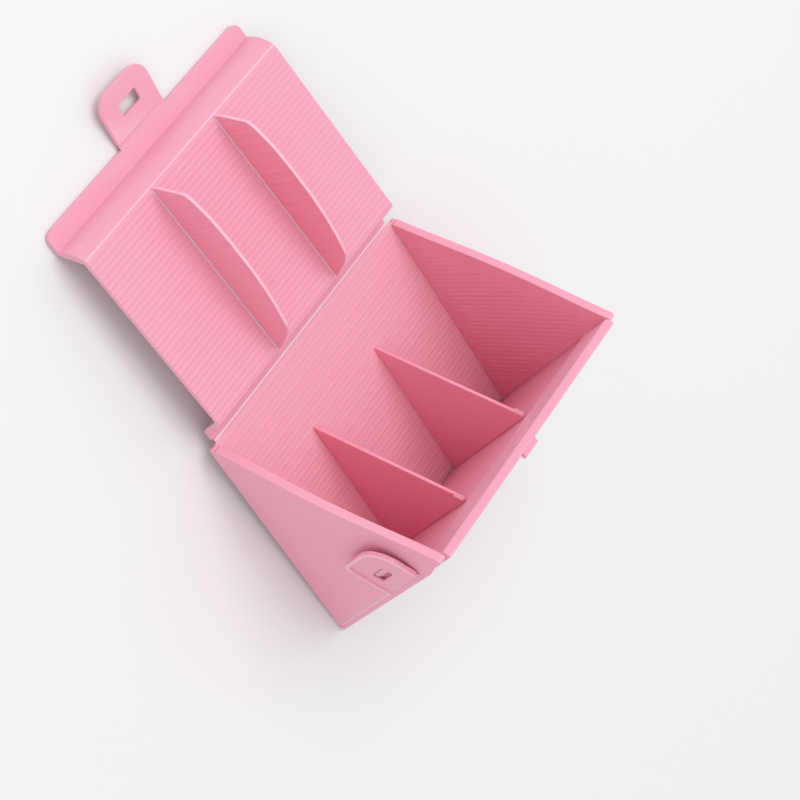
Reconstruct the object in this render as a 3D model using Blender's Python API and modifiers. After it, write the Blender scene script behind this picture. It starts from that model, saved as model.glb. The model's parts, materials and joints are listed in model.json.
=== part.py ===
"""Onigiri bento box: a moulded triangular trough whose lid and latches fold on living hinges.

The box is designed closed, in its section plane: Y runs from the lid's hinge to the front wall, Z points
out of the mouth, and X runs along the box, which is symmetric about X = 0. The origin is the outer corner
of the back wall at the mouth. A root empty then lays the box on its back with the lid thrown open, so that
the bottom fold of the trough and the free edge of the lid both touch the ground.
"""
import bpy
import bmesh
from math import asin, atan2, cos, pi, radians, sin, tan
from mathutils import Vector

# Driving dimensions, in metres and degrees
LENGTH = 0.110            # between the outer faces of the end panels
SIDE = 0.088              # outer side of the equilateral section
WALL = 0.0016             # back and front wall
END_WALL = 0.0030         # end panels
END_RIM = 0.0016          # flat top of an end panel, beside its inner chamfer
BAND = 0.0028             # thick band along the top of the front wall
BAND_DOWN = 0.0185        # how far the band runs down the slope
EDGE_BAR = 0.0025         # thickness of the front wall along its two ends
NOTCH_DOWN = 0.0120       # the front wall clears the end panels' tips down to here
FOLD_CUT = 0.0026         # the walls end this far up the slope from the section's bottom corner
FOLD_MITRE = 0.0009       # their inner faces end this much sooner
SLOT_DOWN = 0.0050        # slot in the band behind the front catch
SLOT_SIZE = (0.0087, 0.0012, 0.0022)
END_TIP_IN = 0.0010       # an end panel's tip stays inward of the front wall's outer face

SHEET = 0.0018            # sheet of the lid
LID_WIDTH = 0.1028
LID_OPEN = 126.2          # opening of the lid at rest
GAP = 0.0003              # between pieces that touch

HINGE_Y = 0.00075         # the lid's hinge axis, in the plane of the mouth
STRIP_START = 0.00135     # the lid in section, from its hinge to the free edge
STEP_START = 0.0040
PLUG_START = 0.0076
PLUG_END = 0.0772
JOGGLE_END = 0.0820
FLANGE_END = 0.0883
PLUG_DEPTH = 0.0097       # the lid's panel hangs this far into the mouth
PANEL_START = 0.0110      # joints between the lid's three solids
PANEL_END = 0.0755

DIVIDER = 0.0012
DIVIDER_X = 0.0188        # middle of a divider, from the middle of the box
DIVIDER_DEPTH = 0.0220    # top edge of a divider below the mouth
FIN_X = DIVIDER_X - 0.0017
FIN_CREST = [             # points of a fin's edge: from the hinge side, and below the mouth
    (0.0126, 0.0176), (0.0166, 0.0216), (0.0250, 0.0238), (0.0330, 0.0252), (0.0417, 0.0259),
    (0.0520, 0.0259), (0.0619, 0.0252), (0.0700, 0.0233), (0.0722, 0.0218),
]
FIN_TAIL = [(0.0760, 0.0122), (0.0766, 0.0097)]

HINGE_BEAD = 0.0003       # radii of the living hinges
LATCH_BEAD = 0.00025
APEX_BEAD = 0.0010
HINGE_START = 0.0010      # where the back wall starts, down its slope

LATCH = 0.0016            # thickness of the latches
SIDE_LATCH_IN = 0.0025    # fold line of a side latch, from the front wall's outer face
SIDE_LATCH_DOWN = 0.0270  # its middle, down the slope of the front wall
SIDE_LATCH_LENGTH = 0.0175
SIDE_LATCH_WIDTH = 0.0232
SIDE_LATCH_FLARE = 9.0    # how far it stands off the end panel at rest
SIDE_LATCH_RADII = [0.0004, 0.0004, 0.0100, 0.0025]
LATCH_ROOT = 0.0006       # a latch's edge from the bead of its hinge
NUB_ALONG = 0.0071        # middle of a nub, from the latch's fold line
NUB_SHIFT = 0.0002        # a nub stands nearer its window's outer end
NUB_DOWN = 0.0290
NUB_LENGTH = 0.0072
NUB_HALF = 0.0013         # half its length across the fold line
NUB_PROUD = 0.0019
SIDE_WINDOW = (0.0040, 0.0084)

LID_LATCH_Y = 0.0891      # fold line of the lid's latch in the closed section
LID_LATCH_LENGTH = 0.0175
LID_LATCH_WIDTH = 0.0234
LID_LATCH_FOLD = 15.0     # how far it is folded inward at rest
LID_LATCH_RADII = [0.0004, 0.0004, 0.0060, 0.0060]
LID_WINDOW = (0.0066, 0.0112)
CATCH_DOWN = 0.0080       # middle of the front catch, down the slope
CATCH_HALF = 0.0016
CATCH_WIDTH = 0.0074
WINDOW_PLAY = 0.0006      # the lid latch's window is this much wider at each side
WINDOW_RADIUS = 0.0006
CATCH_PROUD = 0.0030
EDGE = 0.00025            # width of the small chamfers
FINE_EDGE = 0.0002

# The section: a triangle with 60 degrees at every corner
SLOPE = radians(60)
DEPTH = SIDE * sin(SLOPE)
HALF = LENGTH / 2
WALL_END = SIDE - FOLD_CUT
APEX = Vector((SIDE / 2, 2 * APEX_BEAD - DEPTH))
LATCH_AXIS = Vector((LID_LATCH_Y, GAP + LATCH_BEAD))

PINK = (0.86, 0.36, 0.50, 1.0)
PALE_PINK = (0.90, 0.46, 0.58, 1.0)


def back_point(down, inward):
    """Section point: down the back wall from the mouth, and inward from its outer face."""
    return Vector((down * cos(SLOPE) + inward * sin(SLOPE), inward * cos(SLOPE) - down * sin(SLOPE)))


def front_point(down, inward):
    """Section point: down the front wall from the mouth, and inward from its outer face."""
    return Vector((SIDE - down * cos(SLOPE) - inward * sin(SLOPE), inward * cos(SLOPE) - down * sin(SLOPE)))


def back_at(inward, depth):
    """Section point inward of the back wall's outer face, at a depth below the mouth."""
    return Vector(((inward + depth * cos(SLOPE)) / sin(SLOPE), -depth))


def front_at(inward, depth):
    """Section point inward of the front wall's outer face, at a depth below the mouth."""
    return Vector((SIDE - (inward + depth * cos(SLOPE)) / sin(SLOPE), -depth))


def corner(from_back, from_front):
    """Section point at a distance inward of both outer faces, in the bottom corner."""
    depth = DEPTH - from_back - from_front
    return back_at(from_back, depth)


def turn(point, angle):
    """A section point turned about the origin, from Y towards Z."""
    return Vector((point.x * cos(angle) - point.y * sin(angle), point.x * sin(angle) + point.y * cos(angle)))


def opened(point):
    """Where a point of the closed lid lies in the section when the lid stands at its rest angle."""
    axis = Vector((HINGE_Y, 0))
    return axis + turn(point - axis, radians(LID_OPEN))


def rounded(points, radii, steps=4):
    """A closed outline with rounded corners; a radius of 0 keeps the corner."""
    outline = []
    for i, radius in enumerate(radii):
        here = points[i]
        if radius == 0:
            outline.append(here)
            continue
        before = (points[i - 1] - here).normalized()
        after = (points[(i + 1) % len(points)] - here).normalized()
        half = before.angle(after) / 2
        centre = here + (before + after).normalized() * radius / sin(half)
        first = here + before * radius / tan(half) - centre
        last = here + after * radius / tan(half) - centre
        sweep = -first.angle_signed(last)
        outline += [centre + turn(first, sweep * step / steps) for step in range(steps + 1)]
    return outline


def thickened(line, thickness):
    """The outline of a sheet whose inner face is an open line, with its thickness to the line's left."""
    sides = []
    for start, end in zip(line, line[1:]):
        along = (end - start).normalized()
        sides.append(Vector((-along.y, along.x)))
    normals = [sides[0]]
    for one, other in zip(sides, sides[1:]):
        middle = (one + other).normalized()
        normals.append(middle / middle.dot(one))
    normals.append(sides[-1])
    outer = [point + normal * thickness for point, normal in zip(line, normals)]
    return line + outer[::-1]


def circle(centre, radius, steps=12):
    return [centre + turn(Vector((radius, 0)), 2 * pi * i / steps) for i in range(steps)]


def new_collection(name):
    collection = bpy.data.collections.new(name)
    bpy.context.scene.collection.children.link(collection)
    return collection


def new_material(name, colour, roughness):
    material = bpy.data.materials.new(name)
    material.use_nodes = True
    shader = material.node_tree.nodes["Principled BSDF"]
    shader.inputs["Base Color"].default_value = colour
    shader.inputs["Roughness"].default_value = roughness
    shader.inputs["Metallic"].default_value = 0.0
    return material


def new_pivot(name, location, parent=None, rotation=(0, 0, 0)):
    """An empty, which carries the pieces that turn or stand together."""
    pivot = bpy.data.objects.new(name, None)
    pivot.empty_display_size = 0.01
    pivot.location = location
    pivot.rotation_euler = rotation
    pivot.parent = parent
    parts.objects.link(pivot)
    return pivot


def weld(mesh):
    """Join a filled curve's caps to its sides and merge the flat triangles."""
    work = bmesh.new()
    work.from_mesh(mesh)
    bmesh.ops.remove_doubles(work, verts=work.verts, dist=1e-6)
    bmesh.ops.dissolve_limit(work, angle_limit=radians(0.5), verts=work.verts, edges=work.edges)
    bmesh.ops.recalc_face_normals(work, faces=work.faces)
    work.to_mesh(mesh)
    work.free()


def plate(name, outlines, thickness, parent, place=(0, 0, 0), flat=False, material=None, collection=None):
    """A flat outline with its holes, made solid. It stands in the section plane, or lies flat in XY."""
    curve = bpy.data.curves.new(name, "CURVE")
    curve.dimensions = "2D"
    curve.fill_mode = "BOTH"
    curve.extrude = thickness / 2
    for outline in outlines:
        spline = curve.splines.new("POLY")
        spline.points.add(len(outline) - 1)
        spline.use_cyclic_u = True
        for point, spot in zip(spline.points, outline):
            point.co = (spot.x, spot.y, 0, 1)
    drawn = bpy.data.objects.new(name + "_outline", curve)
    parts.objects.link(drawn)
    bpy.context.view_layer.update()
    mesh = bpy.data.meshes.new_from_object(drawn.evaluated_get(bpy.context.evaluated_depsgraph_get()))
    bpy.data.objects.remove(drawn, do_unlink=True)
    weld(mesh)
    mesh.name = name
    mesh.materials.clear()
    mesh.materials.append(material or pink)
    piece = bpy.data.objects.new(name, mesh)
    (collection or parts).objects.link(piece)
    piece.parent = parent
    piece.location = place
    if not flat:
        piece.rotation_euler = (pi / 2, 0, pi / 2)
    return piece


def chamfer(piece, width=EDGE, angle=50):
    """Small flat chamfers on the sharp edges."""
    bevel = piece.modifiers.new("small_edges", "BEVEL")
    bevel.width = width
    bevel.segments = 1
    bevel.limit_method = "ANGLE"
    bevel.angle_limit = radians(angle)


def combine(piece, tool, operation):
    """Cut a piece with a tool, or join the tool to it."""
    boolean = piece.modifiers.new(operation.lower(), "BOOLEAN")
    boolean.operation = operation
    boolean.solver = "EXACT"
    boolean.object = tool
    tool.hide_render = True
    tool.display_type = "WIRE"


def block(name, size, place, parent, rotation=(0, 0, 0)):
    """A box for cutting or joining, given by its full size."""
    work = bmesh.new()
    bmesh.ops.create_cube(work, size=1)
    bmesh.ops.scale(work, vec=size, verts=work.verts)
    mesh = bpy.data.meshes.new(name)
    work.to_mesh(mesh)
    work.free()
    piece = bpy.data.objects.new(name, mesh)
    cutters.objects.link(piece)
    piece.parent = parent
    piece.location = place
    piece.rotation_euler = rotation
    return piece


def make_back_wall():
    """The plain slab between the lid's hinge and the bottom fold."""
    outline = [back_point(HINGE_START, 0), back_point(WALL_END, 0), back_point(WALL_END - FOLD_MITRE, WALL),
               back_point(HINGE_START, WALL)]
    wall = plate("back_wall", [outline], LENGTH - 2 * (END_WALL + GAP), box)
    chamfer(wall)


def make_end_panel(name, side):
    """A triangular end, whose tip at the mouth fills the notch of the front wall."""
    back = WALL
    front = EDGE_BAR + GAP
    outline = rounded([
        back_at(back, 0),
        corner(back, front),
        front_point(NOTCH_DOWN - GAP, front),
        front_point(NOTCH_DOWN - GAP, END_TIP_IN),
        front_at(END_TIP_IN, 0),
    ], [0.0008, 0.0012, 0, 0.0004, 0.0008], 3)
    panel = plate(name, [outline], END_WALL, box, (side * (HALF - END_WALL / 2), 0, 0))
    slant = END_WALL - END_RIM
    rim_cut = block(name + "_rim_cut", (slant * 2, SIDE * 1.2, slant * 2),
                    (side * (HALF - END_WALL - slant / 2), SIDE / 2, slant / 2), box,
                    (0, side * radians(45), 0))
    combine(panel, rim_cut, "DIFFERENCE")
    chamfer(panel, FINE_EDGE)


def make_end_hinge(name, side):
    """The living hinge along the corner between the back wall and an end panel."""
    inward = WALL - GAP
    outline = [back_point(HINGE_START, 0), back_point(WALL_END, 0), back_point(WALL_END - FOLD_MITRE, inward),
               back_point(HINGE_START, inward)]
    web = plate(name, [outline], END_WALL, box, (side * (HALF - END_WALL / 2), 0, 0))
    chamfer(web, 2 * FINE_EDGE)


def make_divider(name, side):
    """A low wall across the trough."""
    back = WALL + GAP
    outline = rounded([
        back_at(back, DIVIDER_DEPTH),
        corner(back, back),
        front_at(back, DIVIDER_DEPTH),
    ], [0.0004, 0.0012, 0.0008], 3)
    wall = plate(name, [outline], DIVIDER, box, (side * DIVIDER_X, 0, 0))
    chamfer(wall, FINE_EDGE)


def make_front_wall():
    """The wall with the thick band along its top, thick ends, two notches and a slot behind the catch."""
    step = (BAND - WALL) / 2
    outline = rounded([
        front_at(0, 0),
        front_at(BAND, 0),
        front_point(BAND_DOWN, BAND),
        front_point(BAND_DOWN + step, WALL),
        front_point(WALL_END - FOLD_MITRE, WALL),
        front_point(WALL_END, 0),
    ], [2 * FINE_EDGE, 2 * FINE_EDGE, 0, 0, 0, 0], 2)
    wall = plate("front_wall", [outline], LENGTH, box)
    bar_end = WALL_END - EDGE_BAR / 2
    bar = [front_point(NOTCH_DOWN / 2, WALL / 2), front_point(NOTCH_DOWN / 2, EDGE_BAR),
           front_point(bar_end - FOLD_MITRE, EDGE_BAR), front_point(bar_end, WALL / 2)]
    for name, side in (("left", 1), ("right", -1)):
        end = plate("edge_bar_" + name, [bar], END_WALL, box, (side * (HALF - END_WALL / 2), 0, 0),
                    collection=cutters)
        combine(wall, end, "UNION")
    for name, side in (("left", 1), ("right", -1)):
        middle = front_point(0, 0)
        notch = block("notch_" + name, (2 * (END_WALL + GAP), 4 * BAND, 2 * NOTCH_DOWN),
                      (side * HALF, middle.x, middle.y), box, (radians(-30), 0, 0))
        combine(wall, notch, "DIFFERENCE")
    seat = front_point(SLOT_DOWN, BAND)
    slot = block("catch_slot", SLOT_SIZE, (0, seat.x, seat.y), box, (radians(-30), 0, 0))
    combine(wall, slot, "DIFFERENCE")
    chamfer(wall, FINE_EDGE)


def make_front_catch():
    """The wedge on the front wall that the window of the lid's latch drops over."""
    outline = [
        front_point(CATCH_DOWN - CATCH_HALF, -GAP),
        front_point(CATCH_DOWN + CATCH_HALF, -GAP),
        front_point(CATCH_DOWN + CATCH_HALF, -CATCH_PROUD),
        front_point(CATCH_DOWN - CATCH_HALF / 5, -CATCH_PROUD),
    ]
    chamfer(plate("front_catch", [outline], CATCH_WIDTH, box), FINE_EDGE)


def make_folds():
    """The bottom fold and the lid's living hinge."""
    plate("apex_hinge", [circle(APEX, APEX_BEAD, 16)], LENGTH, box)
    plate("lid_hinge", [circle(Vector((HINGE_Y, 0)), HINGE_BEAD)], LID_WIDTH, box, material=pale_pink)


def make_latch_nub(name, side):
    """The wedge on an end panel that the window of a side latch drops over; its steep face is inward."""
    middle = front_point(NUB_DOWN, SIDE_LATCH_IN + NUB_ALONG + NUB_SHIFT)
    seat = new_pivot(name + "_seat", (side * (HALF + GAP), middle.x, middle.y), box, (radians(-30), 0, 0))
    outline = [Vector((0, NUB_HALF)), Vector((0, -NUB_HALF)), Vector((side * NUB_PROUD, -NUB_HALF)),
               Vector((side * NUB_PROUD, -NUB_HALF / 3)), Vector((side * NUB_PROUD * 0.4, NUB_HALF))]
    chamfer(plate(name, [outline], NUB_LENGTH, seat, flat=True), FINE_EDGE)


def make_side_latch(word, side):
    """The D-shaped latch and its window, on a living hinge at the front wall's end."""
    fold = front_point(SIDE_LATCH_DOWN, SIDE_LATCH_IN)
    out = GAP + LATCH_BEAD
    seat = new_pivot("side_latch_seat_" + word, (side * (HALF + out), fold.x, fold.y), box,
                     (radians(-30), 0, 0))
    plate("side_latch_hinge_" + word, [circle(Vector((0, 0)), LATCH_BEAD, 8)],
          SIDE_LATCH_WIDTH - NUB_HALF - LATCH_ROOT, seat, flat=True, material=pale_pink)
    pivot = new_pivot("side_latch_pivot_" + word, (0, 0, 0), seat, (0, 0, side * radians(SIDE_LATCH_FLARE)))
    half = SIDE_LATCH_WIDTH / 2
    root = -LATCH_BEAD - LATCH_ROOT
    tip = -SIDE_LATCH_LENGTH
    outline = rounded([
        Vector((root, -half)), Vector((root, half)), Vector((tip, half)), Vector((tip, -half)),
    ], SIDE_LATCH_RADII, 6)
    along, across = SIDE_WINDOW
    rise = SIDE_LATCH_DOWN - NUB_DOWN
    hole = rounded([
        Vector((-NUB_ALONG - along / 2, rise - across / 2)), Vector((-NUB_ALONG - along / 2, rise + across / 2)),
        Vector((-NUB_ALONG + along / 2, rise + across / 2)), Vector((-NUB_ALONG + along / 2, rise - across / 2)),
    ], [WINDOW_RADIUS] * 4, 2)
    place = (side * (LATCH / 2 - LATCH_BEAD), 0, 0)
    chamfer(plate("side_latch_" + word, [outline, hole], LATCH, pivot, place))


def make_lid():
    """The hinge strip with its step, the ribbed panel, the joggled flange and two fins."""
    level = GAP
    plug = GAP - PLUG_DEPTH
    strip = [Vector((STRIP_START, level)), Vector((STEP_START, level)), Vector((PLUG_START, plug)),
             Vector((PANEL_START, plug))]
    chamfer(plate("lid_hinge_strip", [thickened(strip, SHEET)], LID_WIDTH, lid), FINE_EDGE)
    panel = [Vector((PANEL_START + GAP, plug)), Vector((PANEL_END - GAP, plug))]
    chamfer(plate("lid_panel", [thickened(panel, SHEET)], LID_WIDTH, lid), FINE_EDGE)
    free = [Vector((PANEL_END, plug)), Vector((PLUG_END, plug)), Vector((JOGGLE_END, level)),
            Vector((FLANGE_END, level))]
    chamfer(plate("lid_flange", [thickened(free, SHEET)], LID_WIDTH, lid), FINE_EDGE)
    for word, side in (("left", 1), ("right", -1)):
        make_lid_fin("lid_fin_" + word, side)


def make_lid_fin(name, side):
    """A crescent that drops beside a divider when the lid closes."""
    edge = [(PLUG_START + GAP, PLUG_DEPTH)] + FIN_CREST + FIN_TAIL
    outline = [Vector((y, -depth)) for y, depth in edge]
    chamfer(plate(name, [outline], DIVIDER, lid, (side * FIN_X, 0, 0)), FINE_EDGE)


def make_lid_latch():
    """The latch on the flange's free edge, its living hinge and its window."""
    plate("lid_latch_hinge", [circle(LATCH_AXIS, LATCH_BEAD, 8)], LID_LATCH_WIDTH, lid, material=pale_pink)
    pivot = new_pivot("lid_latch_pivot", (0, LATCH_AXIS.x, LATCH_AXIS.y), lid, (-radians(LID_LATCH_FOLD), 0, 0))
    half = LID_LATCH_WIDTH / 2
    root = LATCH_BEAD + LATCH_ROOT
    tip = LID_LATCH_LENGTH
    outline = rounded([
        Vector((-half, root)), Vector((half, root)), Vector((half, tip)), Vector((-half, tip)),
    ], LID_LATCH_RADII, 6)
    near, far = LID_WINDOW
    across = CATCH_WIDTH / 2 + WINDOW_PLAY
    hole = rounded([
        Vector((-across, near)), Vector((-across, far)), Vector((across, far)), Vector((across, near)),
    ], [WINDOW_RADIUS] * 4, 2)
    place = (0, 0, LATCH / 2 - LATCH_BEAD)
    chamfer(plate("lid_latch_tab", [outline, hole], LATCH, pivot, place, flat=True))


for old in list(bpy.data.objects):
    bpy.data.objects.remove(old, do_unlink=True)
parts = new_collection("bento_box")
cutters = new_collection("cutters")
pink = new_material("pink_polypropylene", PINK, 0.42)
pale_pink = new_material("pink_living_hinge", PALE_PINK, 0.38)

# The ground touches the round bottom fold at one end and the lid's free edge at the other
free_edge = opened(Vector((FLANGE_END, GAP + SHEET)))
reach = APEX - free_edge
lean = asin(APEX_BEAD / reach.length) - atan2(reach.y, reach.x)
height = -turn(free_edge, lean).y
tip = LATCH_AXIS + turn(Vector((LID_LATCH_LENGTH, LATCH - LATCH_BEAD)), -radians(LID_LATCH_FOLD))
low_y = turn(opened(tip), lean).x
high_y = turn(APEX, lean).x + APEX_BEAD
box = new_pivot("bento_box_frame", (0, -(low_y + high_y) / 2, height), None, (lean, 0, 0))
lid_pivot = new_pivot("lid_pivot", (0, HINGE_Y, 0), box, (radians(LID_OPEN), 0, 0))
lid = new_pivot("lid_section", (0, -HINGE_Y, 0), lid_pivot)

make_back_wall()
make_front_wall()
make_front_catch()
make_folds()
make_lid()
make_lid_latch()
for word, side in (("left", 1), ("right", -1)):
    make_end_panel("end_panel_" + word, side)
    make_end_hinge("end_hinge_" + word, side)
    make_divider("divider_" + word, side)
    make_latch_nub("latch_nub_" + word, side)
    make_side_latch(word, side)
bpy.context.view_layer.update()
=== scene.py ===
import json
import bmesh
import bpy
from math import atan2, cos, pi, radians, sin, tan
from mathutils import Matrix, Vector


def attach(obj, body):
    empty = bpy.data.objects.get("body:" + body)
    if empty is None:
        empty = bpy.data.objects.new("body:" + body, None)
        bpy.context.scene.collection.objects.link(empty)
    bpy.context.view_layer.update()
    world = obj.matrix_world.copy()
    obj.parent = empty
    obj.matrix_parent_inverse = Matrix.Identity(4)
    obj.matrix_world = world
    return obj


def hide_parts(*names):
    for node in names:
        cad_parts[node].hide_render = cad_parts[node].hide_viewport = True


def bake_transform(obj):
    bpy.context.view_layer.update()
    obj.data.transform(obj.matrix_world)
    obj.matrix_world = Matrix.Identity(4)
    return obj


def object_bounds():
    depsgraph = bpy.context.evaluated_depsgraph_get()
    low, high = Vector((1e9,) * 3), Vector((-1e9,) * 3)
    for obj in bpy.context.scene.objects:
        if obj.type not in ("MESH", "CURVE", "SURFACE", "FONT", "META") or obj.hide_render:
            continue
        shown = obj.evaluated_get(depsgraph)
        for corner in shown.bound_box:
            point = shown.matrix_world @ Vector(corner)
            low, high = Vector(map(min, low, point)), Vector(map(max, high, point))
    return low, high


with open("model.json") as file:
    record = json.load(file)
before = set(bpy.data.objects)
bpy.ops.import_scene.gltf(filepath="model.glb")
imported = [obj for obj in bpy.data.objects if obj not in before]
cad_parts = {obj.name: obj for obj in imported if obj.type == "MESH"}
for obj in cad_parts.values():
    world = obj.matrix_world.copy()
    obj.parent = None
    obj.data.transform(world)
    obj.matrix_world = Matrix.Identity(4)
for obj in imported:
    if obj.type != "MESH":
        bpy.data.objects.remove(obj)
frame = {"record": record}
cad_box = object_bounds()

# The box is built in its section frame: X along the box, Y from the lid's hinge to the front wall,
# Z out of the mouth, with the back wall's outer corner as origin. All lengths are metres.
LENGTH = 0.110
SIDE = 0.088
WALL = 0.0016
END_WALL = 0.0030
END_RIM = 0.0016
BAND = 0.0028
BAND_DOWN = 0.0185
EDGE_BAR = 0.0025
NOTCH_DOWN = 0.0120
SHEET = 0.0018
LID_WIDTH = 0.1028
GAP = 0.0003
OVERLAP = 0.0002          # how far neighbouring mouldings run into each other
HINGE_Y = 0.00075         # the lid's hinge axis, in the plane of the mouth
STRIP_START = 0.00135
STEP_START = 0.0040
PLUG_START = 0.0076
PLUG_END = 0.0772
JOGGLE_END = 0.0820
FLANGE_END = 0.0883
PLUG_DEPTH = 0.0097
FLANGE_CORNER = 0.0030
JOGGLE_SWELL = 0.0013     # how far the joggle's inner face is rounded out
PANEL_EDGE_HIGHLIGHT = 0.00055      # how far the painted highlight on the rounded edge between panel and joggle reaches
DIVIDER = 0.0012
DIVIDER_X = 0.0188
DIVIDER_DEPTH = 0.0220
FIN_X = DIVIDER_X - 0.0017
FIN_CREST = [             # points of a fin's edge: from the hinge side, and below the mouth
    (0.0126, 0.0176), (0.0166, 0.0216), (0.0250, 0.0238), (0.0330, 0.0252), (0.0417, 0.0259),
    (0.0520, 0.0259), (0.0619, 0.0252), (0.0700, 0.0233), (0.0722, 0.0218),
]
FIN_RADII = [0, 0.0020, 0.0040, 0.02, 0.02, 0.02, 0.02, 0.02, 0.010, 0.0015, 0.0020, 0]
APEX_BEAD = 0.0010
HINGE_START = 0.0010
HINGE_HIGHLIGHT_REACH = 0.00050    # the painted highlight along the crease runs this far to each side of the hinge axis
FOLD_CUT = 0.0026         # the walls end this far up the slope from the section's bottom corner
FOLD_MITRE = 0.0009
LATCH = 0.0016
LATCH_BEAD = 0.00025
LATCH_ROOT_RADIUS = 0.0004
WINDOW_RADIUS = 0.0006
SIDE_LATCH_IN = 0.0025
SIDE_LATCH_DOWN = 0.0270
SIDE_LATCH_LENGTH = 0.0175
SIDE_LATCH_WIDTH = 0.0232
SIDE_LATCH_FLARE = 9.0
SIDE_LATCH_ROOT = 0.0006  # beyond its hinge's bead
SIDE_LATCH_RADII = (0.0100, 0.0025)
SIDE_BORDER = 0.0012
SIDE_BORDER_SHARE = 0.7   # the border is narrower on the lower side
SIDE_POCKET = 0.0007
NUB_ALONG = 0.0071
NUB_SHIFT = 0.0002        # the nub stands nearer the window's outer end
NUB_DOWN = 0.0290
NUB_LENGTH = 0.0072
NUB_PROUD = 0.0019
NUB_HALF = 0.0013
SIDE_WINDOW = (0.0040, 0.0084)
LID_LATCH_Y = 0.0891
LID_LATCH_LENGTH = 0.0175
LID_LATCH_WIDTH = 0.0234
LID_LATCH_FOLD = 15.0
LID_LATCH_ROOT = 0.0005   # beyond its hinge's bead
LID_LATCH_RADIUS = 0.0060
LID_BORDER = 0.0013
LID_POCKET = 0.0005
LID_WINDOW = (0.0066, 0.0112)
WEB_STEPS = 6             # a bending web has this many steps on each side of its axis
SLOT_DOWN = 0.0050        # a slot in the band's inner face
SLOT_HALVES = (0.00435, 0.0006, 0.0011)
CATCH_DOWN = 0.0080
CATCH_HALF = 0.0016
CATCH_WIDTH = 0.0074
CATCH_PROUD = 0.0030

RIB_PITCH = 0.0020        # flat ribs with narrow grooves between them keep rice from sticking
RIB_WIDTH = 0.0017
RIB_RAMP = 0.0004         # width of a rib's rounded flank
FLANK_STEPS = 4
RIB_HEIGHTS = (0.00018, 0.00011)
WALL_RIB_SHARE = 0.45     # the back wall's ribs are lower than the lid's
FIN_RIB_PITCH = 0.0040
FIN_RIB_HEIGHT = 0.00032
FIN_RIB_START = 0.0048
FIN_RIB_STOP = 0.0030
FIN_EDGE_GAP = 0.0009     # the fins' ribs end this far below the rounded edge
FIN_TOE = 0.0012          # the fins' far end stands this far inside the panel's edge
FILLET = 0.00050
FILLET_TOE = 0.00010
END_RIB_HEIGHT = 0.00008
END_RIB_DOWN = 0.0052     # the end panels' ribs stop this far below the mouth
END_RIB_MARGIN = 0.0080   # no ribs this near to the back wall's two ends
END_RIB_START = 0.0022    # where they begin, inward from the back wall's outer face
END_RIB_FRONT = 0.0016    # where they stop, before the bar at the front wall
END_RIB_SHORTEST = 0.0050
RIB_TAPER = 0.0010
SEAM_TOP = 0.0400         # below the side latches a bead runs down the front wall's ends, beside the seam
SEAM_WIDTH = 0.0006
SEAM_BEAD = 0.00030
SEAM_BEVEL = 0.00015
PANEL_PLAY = 0.0002       # between an end panel and the bar along the front wall's end
BOW = 0.0011              # how far the middle of an end panel's rim bulges outward
BOW_CUTS = 16
LEDGE_START = 0.0042      # from the front wall's inner face
LEDGE = 0.0012            # width and height of the ledge between a divider and the front wall
SHARP_ANGLE = 38          # edges sharper than this stay sharp in the shading, in degrees
WELD = 2e-6

SLOPE = radians(60)
DEPTH = SIDE * sin(SLOPE)
HALF = LENGTH / 2
WALL_END = SIDE - FOLD_CUT
INNER = HALF - END_WALL
LATCH_AXIS = Vector((LID_LATCH_Y, GAP + LATCH_BEAD))
FRONT_TILT = Matrix.Rotation(-radians(30), 4, "X")    # from upright to the front wall's slope

# Camera, in the section frame
EYE = Vector((0.3751, 0.3087, 0.6172))
LOOK = Vector((-0.4785, -0.3468, -0.8067))
RIGHT = Vector((-0.5228, 0.8506, -0.0556))
LENS = 108
SENSOR = 36

PINK = (0.870, 0.370, 0.485, 1)
# a paler pink, painted on rounded edges, rims and crests as a highlight
PAINTED_HIGHLIGHT_PINK = (0.910, 0.520, 0.620, 1)
DEEP = (0.850, 0.318, 0.430, 1)
# a whitish pink, painted along the lid's hinge crease as a highlight
HINGE_HIGHLIGHT_PINK = (0.940, 0.660, 0.730, 1)
# a redder pink, painted shade for the pink light bounced about inside the hollows
SHADE_PINK = (0.930, 0.352, 0.468, 1)
# a less red pink, painted light for the surfaces that face the lamp directly
LIT_PINK = (0.838, 0.372, 0.490, 1)
SATIN = 0.40              # roughness of the moulding
CLOUD_SCALE = 38          # scales of the noise in the plastic, per metre
SHEEN_SCALE = 120
GRAIN_SCALE = 4200
FLOW_SCALE = 70
GRAIN_HEIGHT = 0.00003
FLOW_HEIGHT = 0.0004
FLOOR_GREY = 0.82
FLOOR_HALF = 3.0
WORLD_STRENGTH = 0.80
KEY_SPOT = (-0.24, -0.64, 1.44)
KEY_AIM = (0, 0.02, 0.03)
KEY_SIZE = 1.20
KEY_POWER = 10


# ---- the frame ----------------------------------------------------------------------------------------

record = frame["record"]
joints = {joint["name"]: joint for joint in record["behaviour"]["joints"]}
mount = record["mounts"][0]["axis"]
lean = atan2(mount[2], mount[1]) - atan2(-cos(SLOPE), -sin(SLOPE))
opening = -radians(joints["lid_hinge_joint"]["range_deg"][0])
hinge = Vector(joints["lid_hinge_joint"]["pos_m"])
AXIS = Matrix.Translation((0, HINGE_Y, 0))
BOX = Matrix.Translation(hinge) @ Matrix.Rotation(lean, 4, "X") @ AXIS.inverted()
LID = BOX @ AXIS @ Matrix.Rotation(opening, 4, "X") @ AXIS.inverted()
LID_LATCH = (LID @ Matrix.Translation((0, LATCH_AXIS.x, LATCH_AXIS.y))
             @ Matrix.Rotation(-radians(LID_LATCH_FOLD), 4, "X"))


def back_point(down, inward):
    """Section point: down the back wall from the mouth, and inward from its outer face."""
    return Vector((down * cos(SLOPE) + inward * sin(SLOPE), inward * cos(SLOPE) - down * sin(SLOPE)))


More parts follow.
